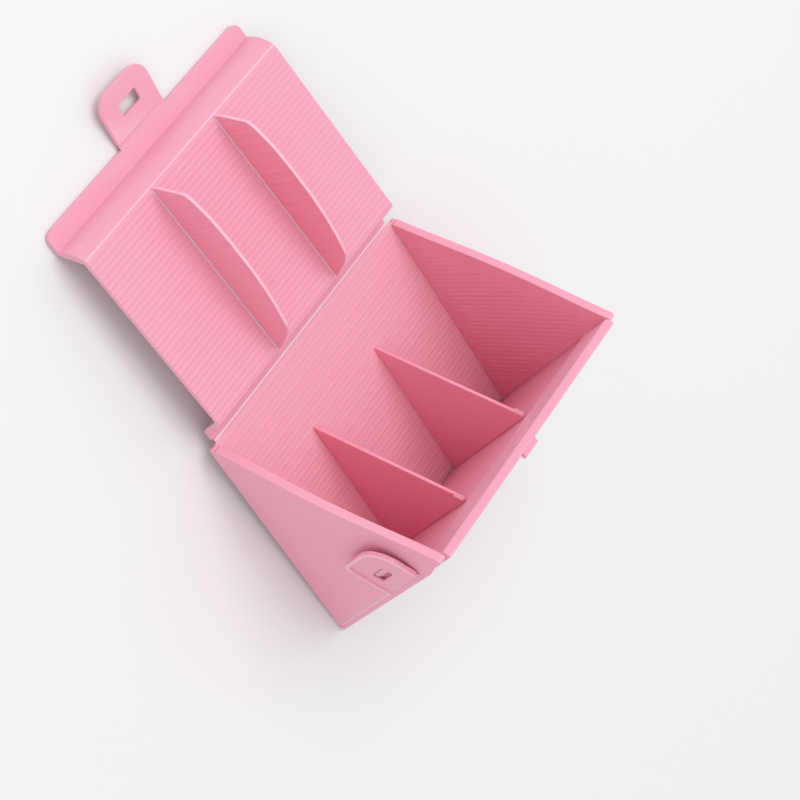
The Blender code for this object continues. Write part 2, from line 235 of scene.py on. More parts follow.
def front_point(down, inward):
    """Section point: down the front wall from the mouth, and inward from its outer face."""
    return Vector((SIDE - down * cos(SLOPE) - inward * sin(SLOPE), inward * cos(SLOPE) - down * sin(SLOPE)))


def back_at(inward, depth):
    """Section point: inward from the back wall's outer face, at a depth below the mouth."""
    return Vector(((inward + depth * cos(SLOPE)) / sin(SLOPE), -depth))


def front_at(inward, depth):
    """Section point: inward from the front wall's outer face, at a depth below the mouth."""
    return Vector((SIDE - (inward + depth * cos(SLOPE)) / sin(SLOPE), -depth))


def corner(from_back, from_front):
    """The bottom corner of the space that is left inward of both walls."""
    return back_at(from_back, DEPTH - from_back - from_front)


def side_matrix(side, down, inward, out):
    """Frame on an end's outside: X along the box, Y away from the front wall's face, Z up its slope."""
    spot = front_point(down, inward)
    return BOX @ Matrix.Translation((side * (HALF + out), spot.x, spot.y)) @ FRONT_TILT


def turn(point, angle):
    """A section point turned round the origin."""
    along = point.x * cos(angle) - point.y * sin(angle)
    up = point.x * sin(angle) + point.y * cos(angle)
    return Vector((along, up))


def rounded(points, radii, steps=6, closed=True):
    """A line or outline with rounded corners; a radius of 0 keeps the corner."""
    line = []
    for i, radius in enumerate(radii):
        here = points[i]
        if radius == 0 or (not closed and i in (0, len(points) - 1)):
            line.append(here)
            continue
        before = (points[i - 1] - here).normalized()
        after = (points[(i + 1) % len(points)] - here).normalized()
        half = before.angle(after) / 2
        centre = here + (before + after).normalized() * radius / sin(half)
        first = here + before * radius / tan(half) - centre
        last = here + after * radius / tan(half) - centre
        sweep = -first.angle_signed(last)
        line += [centre + turn(first, sweep * step / steps) for step in range(steps + 1)]
    return line


def thickened(line, thickness):
    """The points of a line's other side, with the thickness to its left."""
    sides = []
    for start, end in zip(line, line[1:]):
        along = (end - start).normalized()
        sides.append(Vector((-along.y, along.x)))
    normals = [sides[0]]
    for one, other in zip(sides, sides[1:]):
        middle = (one + other).normalized()
        normals.append(middle / middle.dot(one))
    normals.append(sides[-1])
    return [point + normal * thickness for point, normal in zip(line, normals)]


def ribs(start, end, margin, side, share=1.0):
    """Points of a ribbed face from start to end; the ribs stand out to its right (1) or left (-1)."""
    along = (end - start).normalized()
    out = Vector((along.y, -along.x)) * side
    room = (end - start).length - 2 * margin
    count = int((room - RIB_WIDTH) / RIB_PITCH) + 1
    first = margin + (room - (count - 1) * RIB_PITCH) / 2
    line = []
    for i in range(count):
        for shift, rise in rib_profile(RIB_HEIGHTS[i % 2] * share):
            line.append(start + along * (first + i * RIB_PITCH + shift) + out * rise)
    return line


def rib_profile(height):
    """Offsets across a rib and heights, with rounded flanks."""
    flank = []
    for step in range(FLANK_STEPS + 1):
        share = step / FLANK_STEPS
        flank.append((RIB_WIDTH / 2 - RIB_RAMP * share, height * (0.5 - 0.5 * cos(pi * share))))
    return [(-shift, rise) for shift, rise in flank] + flank[::-1]


# ---- mesh helpers -------------------------------------------------------------------------------------

def loft(rings, matrix, name="loft"):
    """A closed solid through rings of points, all with the same number of points."""
    work = bmesh.new()
    made = [[work.verts.new(matrix @ point) for point in ring] for ring in rings]
    count = len(rings[0])
    for one, other in zip(made, made[1:]):
        for i in range(count):
            work.faces.new((one[i], one[(i + 1) % count], other[(i + 1) % count], other[i]))
    work.faces.new(made[0][::-1])
    work.faces.new(made[-1])
    bmesh.ops.recalc_face_normals(work, faces=work.faces)
    mesh = bpy.data.meshes.new(name)
    work.to_mesh(mesh)
    work.free()
    piece = bpy.data.objects.new(name, mesh)
    bpy.context.scene.collection.objects.link(piece)
    return piece


def prism(outline, low, high, matrix, name="prism"):
    """An outline in the section plane, extruded along X."""
    return loft([[Vector((x, p.x, p.y)) for p in outline] for x in (low, high)], matrix, name)


def slab(outline, low, high, matrix, name="slab"):
    """An outline in the XY plane, extruded along Z."""
    return loft([[Vector((p.x, p.y, z)) for p in outline] for z in (low, high)], matrix, name)


def cuboid(low, high, matrix):
    """A box between two opposite corners."""
    outline = [Vector((low[0], low[1])), Vector((high[0], low[1])), Vector((high[0], high[1])),
               Vector((low[0], high[1]))]
    return slab(outline, low[2], high[2], matrix, "cuboid")


def merged(objects):
    """Several separate closed solids as one object."""
    work = bmesh.new()
    for item in objects:
        work.from_mesh(item.data)
        bpy.data.objects.remove(item, do_unlink=True)
    mesh = bpy.data.meshes.new("merged")
    work.to_mesh(mesh)
    work.free()
    made = bpy.data.objects.new("merged", mesh)
    bpy.context.scene.collection.objects.link(made)
    return made


def bars(lines, out, height, matrix):
    """Ribs along 3-D lines, each standing out along the out direction and fading at its ends."""
    made = []
    edge = RIB_WIDTH / 2
    for start, end in lines:
        along = (end - start).normalized()
        across = along.cross(out).normalized()
        rings = []
        for spot, full in ((start, 0), (start + along * RIB_TAPER, height),
                           (end - along * RIB_TAPER, height), (end, 0)):
            shape = [across * shift + out * (rise - OVERLAP / 10) for shift, rise in rib_profile(full)]
            shape += [across * edge - out * OVERLAP, -across * edge - out * OVERLAP]
            rings.append([spot + p for p in shape])
        made.append(loft(rings, matrix, "rib"))
    return merged(made)


def finished(name, base, tools=(), width=0.0, segments=3, angle=50):
    """Joins and cuts with the tools, rounds the sharp edges and shades the result smooth."""
    for operation, tool in tools:
        boolean = base.modifiers.new("join", "BOOLEAN")
        boolean.operation = operation
        boolean.solver = "EXACT"
        boolean.object = tool
    if width:
        bevel = base.modifiers.new("edges", "BEVEL")
        bevel.width = width
        bevel.segments = segments
        bevel.limit_method = "ANGLE"
        bevel.angle_limit = radians(angle)
        bevel.use_clamp_overlap = True
    bpy.context.view_layer.update()
    mesh = bpy.data.meshes.new_from_object(base.evaluated_get(bpy.context.evaluated_depsgraph_get()))
    bpy.data.objects.remove(base, do_unlink=True)
    for _, tool in tools:
        bpy.data.objects.remove(tool, do_unlink=True)
    work = bmesh.new()
    work.from_mesh(mesh)
    bmesh.ops.remove_doubles(work, verts=work.verts, dist=WELD)
    bmesh.ops.recalc_face_normals(work, faces=work.faces)
    work.to_mesh(mesh)
    work.free()
    mesh.name = name
    mesh.shade_smooth()
    mesh.set_sharp_from_angle(angle=radians(SHARP_ANGLE))
    piece = bpy.data.objects.new(name, mesh)
    bpy.context.scene.collection.objects.link(piece)
    return piece


def place(piece, body, nodes, material=None):
    """Gives a finished piece its material, its body and the CAD nodes that it stands for."""
    piece.data.materials.clear()
    piece.data.materials.append(material or shell)
    flat = piece.modifiers.new("flat_faces", "WEIGHTED_NORMAL")
    flat.keep_sharp = True
    flat.weight = 100
    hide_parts(*nodes)
    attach(piece, body)


def tint(piece, material, chosen):
    """Gives the chosen faces of a placed piece one more material."""
    piece.data.materials.append(material)
    for face in piece.data.polygons:
        if chosen(face):
            face.material_index = len(piece.data.materials) - 1


def bent(stages):
    """The points of a bending web, eased from each of its stages to the next."""
    line = []
    for one, other in zip(stages, stages[1:]):
        for i in range(WEB_STEPS):
            line.append([a.lerp(b, i / WEB_STEPS) for a, b in zip(one, other)])
    line.append(stages[-1])
    return line


def web_rings(stages, half):
    """Rings of a bending web that runs along X, from its low and high points."""
    rings = []
    for low, high in bent(stages):
        ring = ((-half, low), (half, low), (half, high), (-half, high))
        rings.append([Vector((x, p.y, p.z)) for x, p in ring])
    return rings


def place_web(web, node):
    """Hides the CAD node that a web stands for and bakes the web's placement into its mesh; the web belongs
    to neither body.
    """
    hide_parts(node)
    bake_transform(web)


# ---- materials ----------------------------------------------------------------------------------------

def moulded_plastic(name, colour, deep, pale, roughness):
    """Satin polypropylene: slight clouding of the colour, a fine moulded grain and a painted highlight that
    makes convex edges paler.
    """
    material = bpy.data.materials.new(name)
    material.use_nodes = True
    nodes = material.node_tree.nodes
    links = material.node_tree.links
    shader = nodes["Principled BSDF"]
    place_in = nodes.new("ShaderNodeTexCoord").outputs["Object"]

    def noise(scale, detail):
        node = nodes.new("ShaderNodeTexNoise")
        node.inputs["Scale"].default_value = scale
        node.inputs["Detail"].default_value = detail
        links.new(place_in, node.inputs["Vector"])
        return node.outputs["Fac"]

    def mapped(value, low, high, to_low, to_high):
        node = nodes.new("ShaderNodeMapRange")
        node.inputs["From Min"].default_value = low
        node.inputs["From Max"].default_value = high
        node.inputs["To Min"].default_value = to_low
        node.inputs["To Max"].default_value = to_high
        links.new(value, node.inputs["Value"])
        return node.outputs["Result"]

    def mixed(factor, one, other):
        node = nodes.new("ShaderNodeMix")
        node.data_type = "RGBA"
        links.new(factor, node.inputs["Factor"])
        for value, socket in ((one, node.inputs["A"]), (other, node.inputs["B"])):
            if isinstance(value, tuple):
                socket.default_value = value
            else:
                links.new(value, socket)
        return node.outputs["Result"]

    clouded = mixed(mapped(noise(CLOUD_SCALE, 4), 0.35, 0.65, 0.0, 0.30), colour, deep)
    # painted highlight: convex edges, where the pointiness is high, are mixed towards the pale colour
    edges = mapped(nodes.new("ShaderNodeNewGeometry").outputs["Pointiness"], 0.52, 0.60, 0.0, 0.55)
    links.new(mixed(edges, clouded, pale), shader.inputs["Base Color"])
    sheen = mapped(noise(SHEEN_SCALE, 3), 0.3, 0.7, roughness - 0.05, roughness + 0.06)
    links.new(sheen, shader.inputs["Roughness"])
    grain = nodes.new("ShaderNodeBump")
    grain.inputs["Strength"].default_value = 0.35
    grain.inputs["Distance"].default_value = GRAIN_HEIGHT
    links.new(noise(GRAIN_SCALE, 2), grain.inputs["Height"])
    flow = nodes.new("ShaderNodeBump")
    flow.inputs["Strength"].default_value = 0.25
    flow.inputs["Distance"].default_value = FLOW_HEIGHT
    links.new(noise(FLOW_SCALE, 2), flow.inputs["Height"])
    links.new(grain.outputs["Normal"], flow.inputs["Normal"])
    links.new(flow.outputs["Normal"], shader.inputs["Normal"])
    shader.inputs["Metallic"].default_value = 0.0
    shader.inputs["IOR"].default_value = 1.49
    shader.inputs["Subsurface Weight"].default_value = 0.22
    shader.inputs["Subsurface Radius"].default_value = (1.0, 0.35, 0.45)
    shader.inputs["Subsurface Scale"].default_value = 0.0012
    return material


# painted highlight: in this material and the lid's, convex edges are mixed towards the paler pink
shell = moulded_plastic("satin_pink_polypropylene", PINK, DEEP, PAINTED_HIGHLIGHT_PINK, SATIN)
# painted highlight along the lid's hinge crease
crease = moulded_plastic("painted_highlight_living_hinge", HINGE_HIGHLIGHT_PINK, PAINTED_HIGHLIGHT_PINK, HINGE_HIGHLIGHT_PINK, 0.34)
plain = moulded_plastic("satin_pink_flat_faces", PINK, DEEP, PINK, SATIN)
# painted light: the lid and front wall take the less red, directly lit copy of the pink
front_lit_shell = moulded_plastic("satin_pink_front_wall_painted_light", LIT_PINK, DEEP, LIT_PINK, SATIN)
lid_lit_shell = moulded_plastic("satin_pink_lid_painted_light", LIT_PINK, DEEP, PAINTED_HIGHLIGHT_PINK, SATIN)
# painted shade: the redder pink stands for light bounced between the pink walls inside
inner = moulded_plastic("satin_pink_inner_walls_painted_shade", SHADE_PINK, DEEP, SHADE_PINK, SATIN)
# painted highlight: faces on rounded rims, beads and crests are given this paler pink
rim = moulded_plastic("painted_highlight_rounded_edges", PAINTED_HIGHLIGHT_PINK, PINK, PAINTED_HIGHLIGHT_PINK, 0.36)


# ---- the trough ---------------------------------------------------------------------------------------

def make_back_wall():
    outer = [back_point(HINGE_START - 0.0001, 0.0002), back_point(HINGE_START + 0.0001, 0),
             back_point(WALL_END, 0)]
    foot = back_point(WALL_END - FOLD_MITRE, WALL)
    head = back_point(HINGE_START - 0.0002, WALL)
    outline = outer + [foot] + ribs(foot, head, 0.0004, 1, WALL_RIB_SHARE) + [head]
    outline.append(back_point(HINGE_START - 0.0005, WALL - 0.0003))
    wall = prism(outline, -INNER - OVERLAP, INNER + OVERLAP, BOX)
    place(finished("back_wall_moulding", wall), "box", ["back_wall"])


def make_front_wall():
    low = front_point(BAND_DOWN + 0.0007, WALL)
    foot = front_point(WALL_END - FOLD_MITRE, WALL)
    corners = [front_point(WALL_END, 0), front_at(0, 0), front_at(BAND, 0), front_point(BAND_DOWN, BAND), low]
    top = rounded(corners, [0, 0.0005, 0.0005, 0.0003, 0], 4, False)
    outline = top + ribs(low, foot, 0.0012, -1) + [foot]
    wall = prism(outline, -HALF, HALF, BOX)
    tools = []
    bar_end = WALL_END - EDGE_BAR / 2
    bar = [front_point(NOTCH_DOWN / 2, WALL / 2), front_point(NOTCH_DOWN / 2, EDGE_BAR),
           front_point(bar_end - FOLD_MITRE, EDGE_BAR), front_point(bar_end, WALL / 2)]
    for side in (1, -1):
        low_x, high_x = sorted((side * (HALF - END_WALL), side * HALF))
        tools.append(("UNION", prism(bar, low_x, high_x, BOX)))
    for side in (1, -1):
        spot = front_point(0, 0)
        at = BOX @ Matrix.Translation((side * HALF, spot.x, spot.y)) @ FRONT_TILT
        size = Vector((END_WALL + GAP, 2 * BAND, NOTCH_DOWN))
        tools.append(("DIFFERENCE", cuboid(-size, size, at)))
    spot = front_point(SLOT_DOWN, BAND)
    at = BOX @ Matrix.Translation((0, spot.x, spot.y)) @ FRONT_TILT
    size = Vector(SLOT_HALVES)
    tools.append(("DIFFERENCE", cuboid(-size, size, at)))
    pieces = [finished("front_wall", wall, tools, width=0.00025, segments=2, angle=60)]
    for side in (1, -1):
        low_x, high_x = sorted((side * (HALF - OVERLAP), side * (HALF + SEAM_BEAD)))
        edge = EDGE_BAR - 0.0001
        bead = [front_point(SEAM_TOP, edge - SEAM_WIDTH), front_point(SEAM_TOP, edge),
                front_point(bar_end - FOLD_MITRE, edge), front_point(bar_end - FOLD_MITRE, edge - SEAM_WIDTH)]
        bead = prism(bead, low_x, high_x, BOX)
        pieces.append(finished("bead", bead, width=SEAM_BEVEL, segments=3, angle=60))
    wall = merged(pieces)
    wall.name = "front_wall_moulding"
    # painted light: the front wall takes the directly lit copy of the pink
    place(wall, "box", ["front_wall"], material=front_lit_shell)
    to_section = BOX.inverted()
    inward = BOX.to_3x3() @ Vector((0, -sin(SLOPE), cos(SLOPE)))
    lowest = front_point(BAND_DOWN, BAND).y
    # painted highlight: the band's inner face and the outer faces of the seam beads take the paler pink
    tint(wall, rim, lambda face: face.normal.dot(inward) > 0.9 and (to_section @ face.center).z > lowest)
    tint(wall, rim, lambda face: abs(face.center.x) > HALF + SEAM_BEAD / 4)


def make_front_catch():
    """The wedge on the front wall that the lid's latch drops over."""
    high = CATCH_DOWN - CATCH_HALF
    low = CATCH_DOWN + CATCH_HALF
    outline = [front_point(high, OVERLAP), front_point(low, OVERLAP), front_point(low, -CATCH_PROUD),
               front_point(CATCH_DOWN - CATCH_HALF * 0.2, -CATCH_PROUD)]
    wedge = prism(outline, -CATCH_WIDTH / 2, CATCH_WIDTH / 2, BOX)
    place(finished("front_catch_moulding", wedge, width=0.00025), "box", ["front_catch"])


def make_bottom_fold():
    """The two walls run together into a rounded fold."""
    apex = Vector((SIDE / 2, 2 * APEX_BEAD - DEPTH))
    base = WALL_END - OVERLAP
    round_part = [apex + turn(Vector((APEX_BEAD, 0)), radians(angle)) for angle in range(-150, -29, 12)]
    outline = ([back_point(base, WALL - 0.0007), back_point(base, 0)] + round_part
               + [front_point(base, 0), front_point(base, WALL - 0.0007)])
    pieces = [finished("fold", prism(outline, -HALF, HALF, BOX), width=0.0002, segments=2, angle=60)]
    inward = WALL / 2
    heel = [back_point(base - EDGE_BAR, inward), back_point(base, inward), front_point(base, inward),
            front_point(base - EDGE_BAR, inward)]
    for side in (1, -1):
        low, high = sorted((side * INNER, side * (HALF - GAP)))
        pieces.append(finished("heel", prism(heel, low, high, BOX)))
    fold = merged(pieces)
    fold.name = "bottom_fold_moulding"
    place(fold, "box", ["apex_hinge"])


def rib_reach(down, margin):
    """How far inward a rib may run on an end panel, at a distance down the back wall."""
    to_mouth = 2 * (down * sin(SLOPE) - END_RIB_DOWN)
    to_front = 2 * (DEPTH - down * sin(SLOPE) - EDGE_BAR - margin)
    return min(to_mouth, to_front)


def make_end_panel(word, side):
    back = WALL
    front = EDGE_BAR - PANEL_PLAY
    outline = rounded([
        back_at(back, 0), corner(back, front), front_point(NOTCH_DOWN - GAP, front),
        front_point(NOTCH_DOWN - GAP, 0.0010), front_at(0.0010, 0),
    ], [0.0008, 0.0012, 0.0003, 0.0005, 0.0010], 5)
    low, high = sorted((side * INNER, side * HALF))
    panel = prism(outline, low, high, BOX)
    slant = END_WALL - END_RIM
    cut = [Vector((-slant * 2, -slant)), Vector((slant, slant * 2)), Vector((-slant * 2, slant * 2))]
    edge = [Vector((side * (INNER + p.x), -0.01, p.y)) for p in cut]
    far = [Vector((p.x, SIDE + 0.01, p.z)) for p in edge]
    tools = [("DIFFERENCE", loft([edge, far], BOX))]
    lines = []
    down = END_RIB_MARGIN
    while down < SIDE - END_RIB_MARGIN:
        reach = rib_reach(down, END_RIB_FRONT)
        if reach > END_RIB_SHORTEST:
            ends = [back_point(down, inward) for inward in (END_RIB_START, reach)]
            lines.append([Vector((side * INNER, p.x, p.y)) for p in ends])
        down += RIB_PITCH
    tools.append(("UNION", bars(lines, Vector((-side, 0, 0)), END_RIB_HEIGHT, BOX)))
    panel = finished("end_panel_moulding_" + word, panel, tools, width=0.0003, segments=3, angle=40)
    bow(panel, side)
    place(panel, "box", ["end_panel_" + word])
    # painted shade: the inner faces take the redder pink
    tint(panel, inner, lambda face: side * face.normal.x < -0.9)
    seam = BOX @ Vector((side * HALF, *front_point(SIDE / 2, 0)))
    outward = BOX.to_3x3() @ Vector((0, sin(SLOPE), -cos(SLOPE)))
    # painted highlight: the rounded edge beside the seam takes the paler pink
    tint(panel, rim, lambda face: (seam - face.center).dot(outward) < EDGE_BAR + 0.0002
         and 0.1 < side * face.normal.x < 0.98)


def bow(piece, side):
    """Bulges an end panel outward in the middle of its rim, as the moulding does when it is folded up."""
    to_section = BOX.inverted()
    work = bmesh.new()
    work.from_mesh(piece.data)
    work.transform(to_section)
    for i in range(1, BOW_CUTS):
        for spot, normal in ((Vector((0, SIDE * i / BOW_CUTS, 0)), Vector((0, 1, 0))),
                             (Vector((0, 0, -DEPTH * i / BOW_CUTS)), Vector((0, 0, 1)))):
            geometry = work.verts[:] + work.edges[:] + work.faces[:]
            bmesh.ops.bisect_plane(work, geom=geometry, plane_co=spot, plane_no=normal, dist=1e-7)
    for vertex in work.verts:
        across = sin(pi * min(max(vertex.co.y / SIDE, 0), 1)) ** 2
        vertex.co.x += side * BOW * across * (1 + vertex.co.z / DEPTH)
    work.transform(BOX)
    work.to_mesh(piece.data)
    work.free()
    piece.data.set_sharp_from_angle(angle=radians(SHARP_ANGLE))


def make_corner_fold(word, side):
    """The living hinge down the corner between the back wall and an end panel."""
    outline = [back_point(HINGE_START, 0), back_point(WALL_END, 0),
               back_point(WALL_END - FOLD_MITRE, WALL + OVERLAP),
               back_point(HINGE_START, WALL + OVERLAP)]
    low, high = sorted((side * (INNER - GAP - OVERLAP), side * HALF))
    web = prism(outline, low, high, BOX)
    place(finished("corner_fold_" + word, web, width=0.0005, segments=4), "box", ["end_hinge_" + word])


def make_divider(word, side):
    back = WALL - OVERLAP
    outline = rounded([back_at(back, DIVIDER_DEPTH), corner(back, back), front_at(WALL + GAP, DIVIDER_DEPTH)],
                      [0.0003, 0.0012, 0.0008], 5)
    middle = side * DIVIDER_X
    wall = prism(outline, middle - DIVIDER / 2, middle + DIVIDER / 2, BOX)
    ledge_start = front_at(WALL + LEDGE_START, DIVIDER_DEPTH)
    ledge_end = front_at(WALL + 0.0005, DIVIDER_DEPTH)
    low, high = sorted((middle, middle + side * LEDGE))
    ledge = cuboid((low, ledge_start.x, -DIVIDER_DEPTH - LEDGE),
                   (high, ledge_end.x - 0.0006, -DIVIDER_DEPTH - 0.00005), BOX)
    wall = finished("divider_wall_" + word, wall, width=0.0004, segments=3)
    ledge = finished("divider_ledge_" + word, ledge, width=0.0003, segments=3)
    divider = merged([wall, ledge])
    divider.name = "divider_moulding_" + word
    # painted shade: the divider takes the redder pink of the hollows
    place(divider, "box", ["divider_" + word], material=inner)


def make_latch_nub(word, side):
    at = side_matrix(side, NUB_DOWN, SIDE_LATCH_IN + NUB_ALONG + NUB_SHIFT, 0)
    proud = NUB_PROUD + GAP
    outline = [
        Vector((-side * OVERLAP, NUB_HALF)), Vector((-side * OVERLAP, -NUB_HALF)),
        Vector((side * proud, -NUB_HALF)), Vector((side * proud, -NUB_HALF * 0.3)),
        Vector((side * proud * 0.45, NUB_HALF)),
    ]
    nub = slab(outline, -NUB_LENGTH / 2, NUB_LENGTH / 2, at)
    place(finished("latch_nub_moulding_" + word, nub, width=0.00025), "box", ["latch_nub_" + word])


# ---- the latches --------------------------------------------------------------------------------------

def make_side_latch(word, side):
    """A D-shaped tab with a raised border round its free edge and a window."""
    seat = side_matrix(side, SIDE_LATCH_DOWN, SIDE_LATCH_IN, GAP + LATCH_BEAD)
    at = seat @ Matrix.Rotation(side * radians(SIDE_LATCH_FLARE), 4, "Z")
    half = SIDE_LATCH_WIDTH / 2
    root = -LATCH_BEAD - SIDE_LATCH_ROOT
    tip = -SIDE_LATCH_LENGTH
    upper, lower = SIDE_LATCH_RADII
    corners = [Vector((root, -half)), Vector((root, half)), Vector((tip, half)), Vector((tip, -half))]
    outline = rounded(corners, [LATCH_ROOT_RADIUS, LATCH_ROOT_RADIUS, upper, lower], 10)
    low, high = sorted((-side * LATCH_BEAD, side * (LATCH - LATCH_BEAD)))
    tab = prism(outline, low, high, at)
    border = SIDE_BORDER
    thin = border * SIDE_BORDER_SHARE
    floor = side * (LATCH - LATCH_BEAD - SIDE_POCKET)
    inset = [Vector((root + 0.01, -half + thin)), Vector((root + 0.01, half - border)),
             Vector((tip + border, half - border)), Vector((tip + border, -half + thin))]
    pocket = rounded(inset, [0, 0, upper - border, lower - thin], 10)
    pocket_low, pocket_high = sorted((floor, side * 0.004))
    along, across = SIDE_WINDOW
    rise = SIDE_LATCH_DOWN - NUB_DOWN
    hole = rounded([Vector((-NUB_ALONG - along / 2, rise - across / 2)),
                    Vector((-NUB_ALONG - along / 2, rise + across / 2)),
                    Vector((-NUB_ALONG + along / 2, rise + across / 2)),
                    Vector((-NUB_ALONG + along / 2, rise - across / 2))], [WINDOW_RADIUS] * 4, 4)
    tools = [("DIFFERENCE", prism(pocket, pocket_low, pocket_high, at)),
             ("DIFFERENCE", prism(hole, -0.004, 0.004, at))]
    tab = finished("side_latch_moulding_" + word, tab, tools, width=0.00038, segments=3, angle=40)
    place(tab, "latch_" + word, ["side_latch_" + word], material=plain)
    to_tab = at.inverted()
    # painted highlight: the raised border's top takes the paler pink
    tint(tab, rim, lambda face: (to_tab @ face.center).x * side > LATCH - LATCH_BEAD - 0.0005)
    make_side_web(word, side, seat, at)


def make_side_web(word, side, seat, at):
    """The living hinge of a side latch, shaped bent between the wall and the tab."""
    half = SIDE_LATCH_WIDTH / 2 - 0.0008
    wall_side = [Vector((-side * (GAP + LATCH_BEAD + OVERLAP), y, 0)) for y in (0.0009, -0.0002)]
    middle = [Vector((side * x, 0.0001, 0)) for x in (LATCH_BEAD, -LATCH_BEAD)]
    turned = seat.inverted() @ at
    tab_side = [turned @ Vector((side * x, -LATCH_BEAD - 0.0009, 0)) for x in (0.0004, -0.0002)]
    rings = []
    for one, other in bent([wall_side, middle, tab_side]):
        ring = ((one, -half), (one, half), (other, half), (other, -half))
        rings.append([Vector((p.x, p.y, z)) for p, z in ring])
    web = finished("side_latch_web_" + word, loft(rings, seat))
    web.data.materials.append(plain)
    place_web(web, "side_latch_hinge_" + word)


def make_lid_latch():
    """A tab at the flange's edge, with a raised border and a window for the catch."""
    half = LID_LATCH_WIDTH / 2
    root = LATCH_BEAD + LID_LATCH_ROOT
    tip = LID_LATCH_LENGTH
    radii = [LATCH_ROOT_RADIUS, LATCH_ROOT_RADIUS, LID_LATCH_RADIUS, LID_LATCH_RADIUS]
    corners = [Vector((-half, root)), Vector((half, root)), Vector((half, tip)), Vector((-half, tip))]
    outline = rounded(corners, radii, 10)
    low = -LATCH_BEAD
    high = LATCH - LATCH_BEAD
    tab = slab(outline, low, high, LID_LATCH)
    near, far = LID_WINDOW
    across = CATCH_WIDTH / 2 + 0.0006
    hole = rounded([Vector((-across, near)), Vector((-across, far)), Vector((across, far)),
                    Vector((across, near))], [WINDOW_RADIUS] * 4, 4)
    border = LID_BORDER
    inset = [Vector((-half + border, -0.01)), Vector((half - border, -0.01)),
             Vector((half - border, tip - border)), Vector((-half + border, tip - border))]
    pocket = rounded(inset, [0, 0, LID_LATCH_RADIUS - border, LID_LATCH_RADIUS - border], 10)
    tools = [("DIFFERENCE", slab(pocket, high - LID_POCKET, high + 0.002, LID_LATCH)),
             ("DIFFERENCE", slab(hole, -0.003, 0.004, LID_LATCH))]
    tab = finished("lid_latch_moulding", tab, tools, width=0.00028, segments=3, angle=40)
    # painted light: the latch takes the directly lit copy of the pink
    place(tab, "lid_latch", ["lid_latch_tab"], material=lid_lit_shell)
    make_lid_latch_web(half)


def make_lid_latch_web(half):
    """The crease between the flange and its latch, shaped bent from one to the other."""
    to_latch = LID.inverted() @ LID_LATCH
    sunk = 0.0001
    flange = [Vector((0, FLANGE_END - 0.0006, GAP + z)) for z in (sunk, 0.0007)]
    middle = [Vector((0, LATCH_AXIS.x, LATCH_AXIS.y + z)) for z in (sunk - LATCH_BEAD, LATCH_BEAD)]
    tab = [to_latch @ Vector((0, LATCH_BEAD + 0.0010, z)) for z in (sunk - LATCH_BEAD, 0.00045)]
    web = finished("lid_latch_web", loft(web_rings([flange, middle, tab], half), LID))
    web.data.materials.append(plain)
    place_web(web, "lid_latch_hinge")


# ---- the lid ------------------------------------------------------------------------------------------

def make_lid():
    """One sheet in section: hinge strip, step, ribbed panel, joggle and flange with rounded corners."""
    level = GAP
    plug = GAP - PLUG_DEPTH
    corners = [Vector((STRIP_START, level)), Vector((STEP_START, level)), Vector((PLUG_START, plug)),
               Vector((PLUG_END, plug)), Vector((JOGGLE_END, level)), Vector((FLANGE_END, level))]
    chord = corners[4] - corners[3]
    swell = Vector((chord.y, -chord.x)).normalized() * JOGGLE_SWELL
    curve = [corners[3] + chord * t + swell * sin(pi * t) for t in (0.25, 0.50, 0.75)]
    smooth = rounded(corners[:4] + curve + corners[4:],
                     [0, 0.0005, 0.0006, 0.0008, 0.004, 0.004, 0.004, 0.0003, 0], 5, False)
    outer = rounded(thickened(corners, SHEET), [0, 0.0020, 0.0004, 0.0004, 0.0020, 0], 5, False)
    split = next(i for i, p in enumerate(smooth) if p.x > SIDE / 2)
    ribbed = smooth[:split] + ribs(smooth[split - 1], smooth[split], 0.0001, 1) + smooth[split:]
    outline = ribbed + outer[::-1]
    half = LID_WIDTH / 2
    steps = 8
    rings = []
    cuts = [FLANGE_CORNER * (1 - sin(pi / 2 * i / steps)) for i in range(steps + 1)]
    stations = [(-half + FLANGE_CORNER * (1 - cos(pi / 2 * i / steps)), cut) for i, cut in enumerate(cuts)]
    stations += [(-x, cut) for x, cut in stations[::-1]]
    for x, cut in stations:
        rings.append([Vector((x, min(p.x, FLANGE_END - cut), p.y)) for p in outline])
    lid = finished("lid_moulding", loft(rings, LID), width=0.0003, segments=2, angle=65)
    # painted light: the lid takes the directly lit copy of the pink
    place(lid, "lid", ["lid_hinge_strip", "lid_panel", "lid_flange"], material=lid_lit_shell)
    crest = LID @ Vector((0, PLUG_END, plug))
    # painted highlight along the rounded edge between panel and joggle
    tint(lid, rim, lambda face: (face.center - crest).yz.length < PANEL_EDGE_HIGHLIGHT)


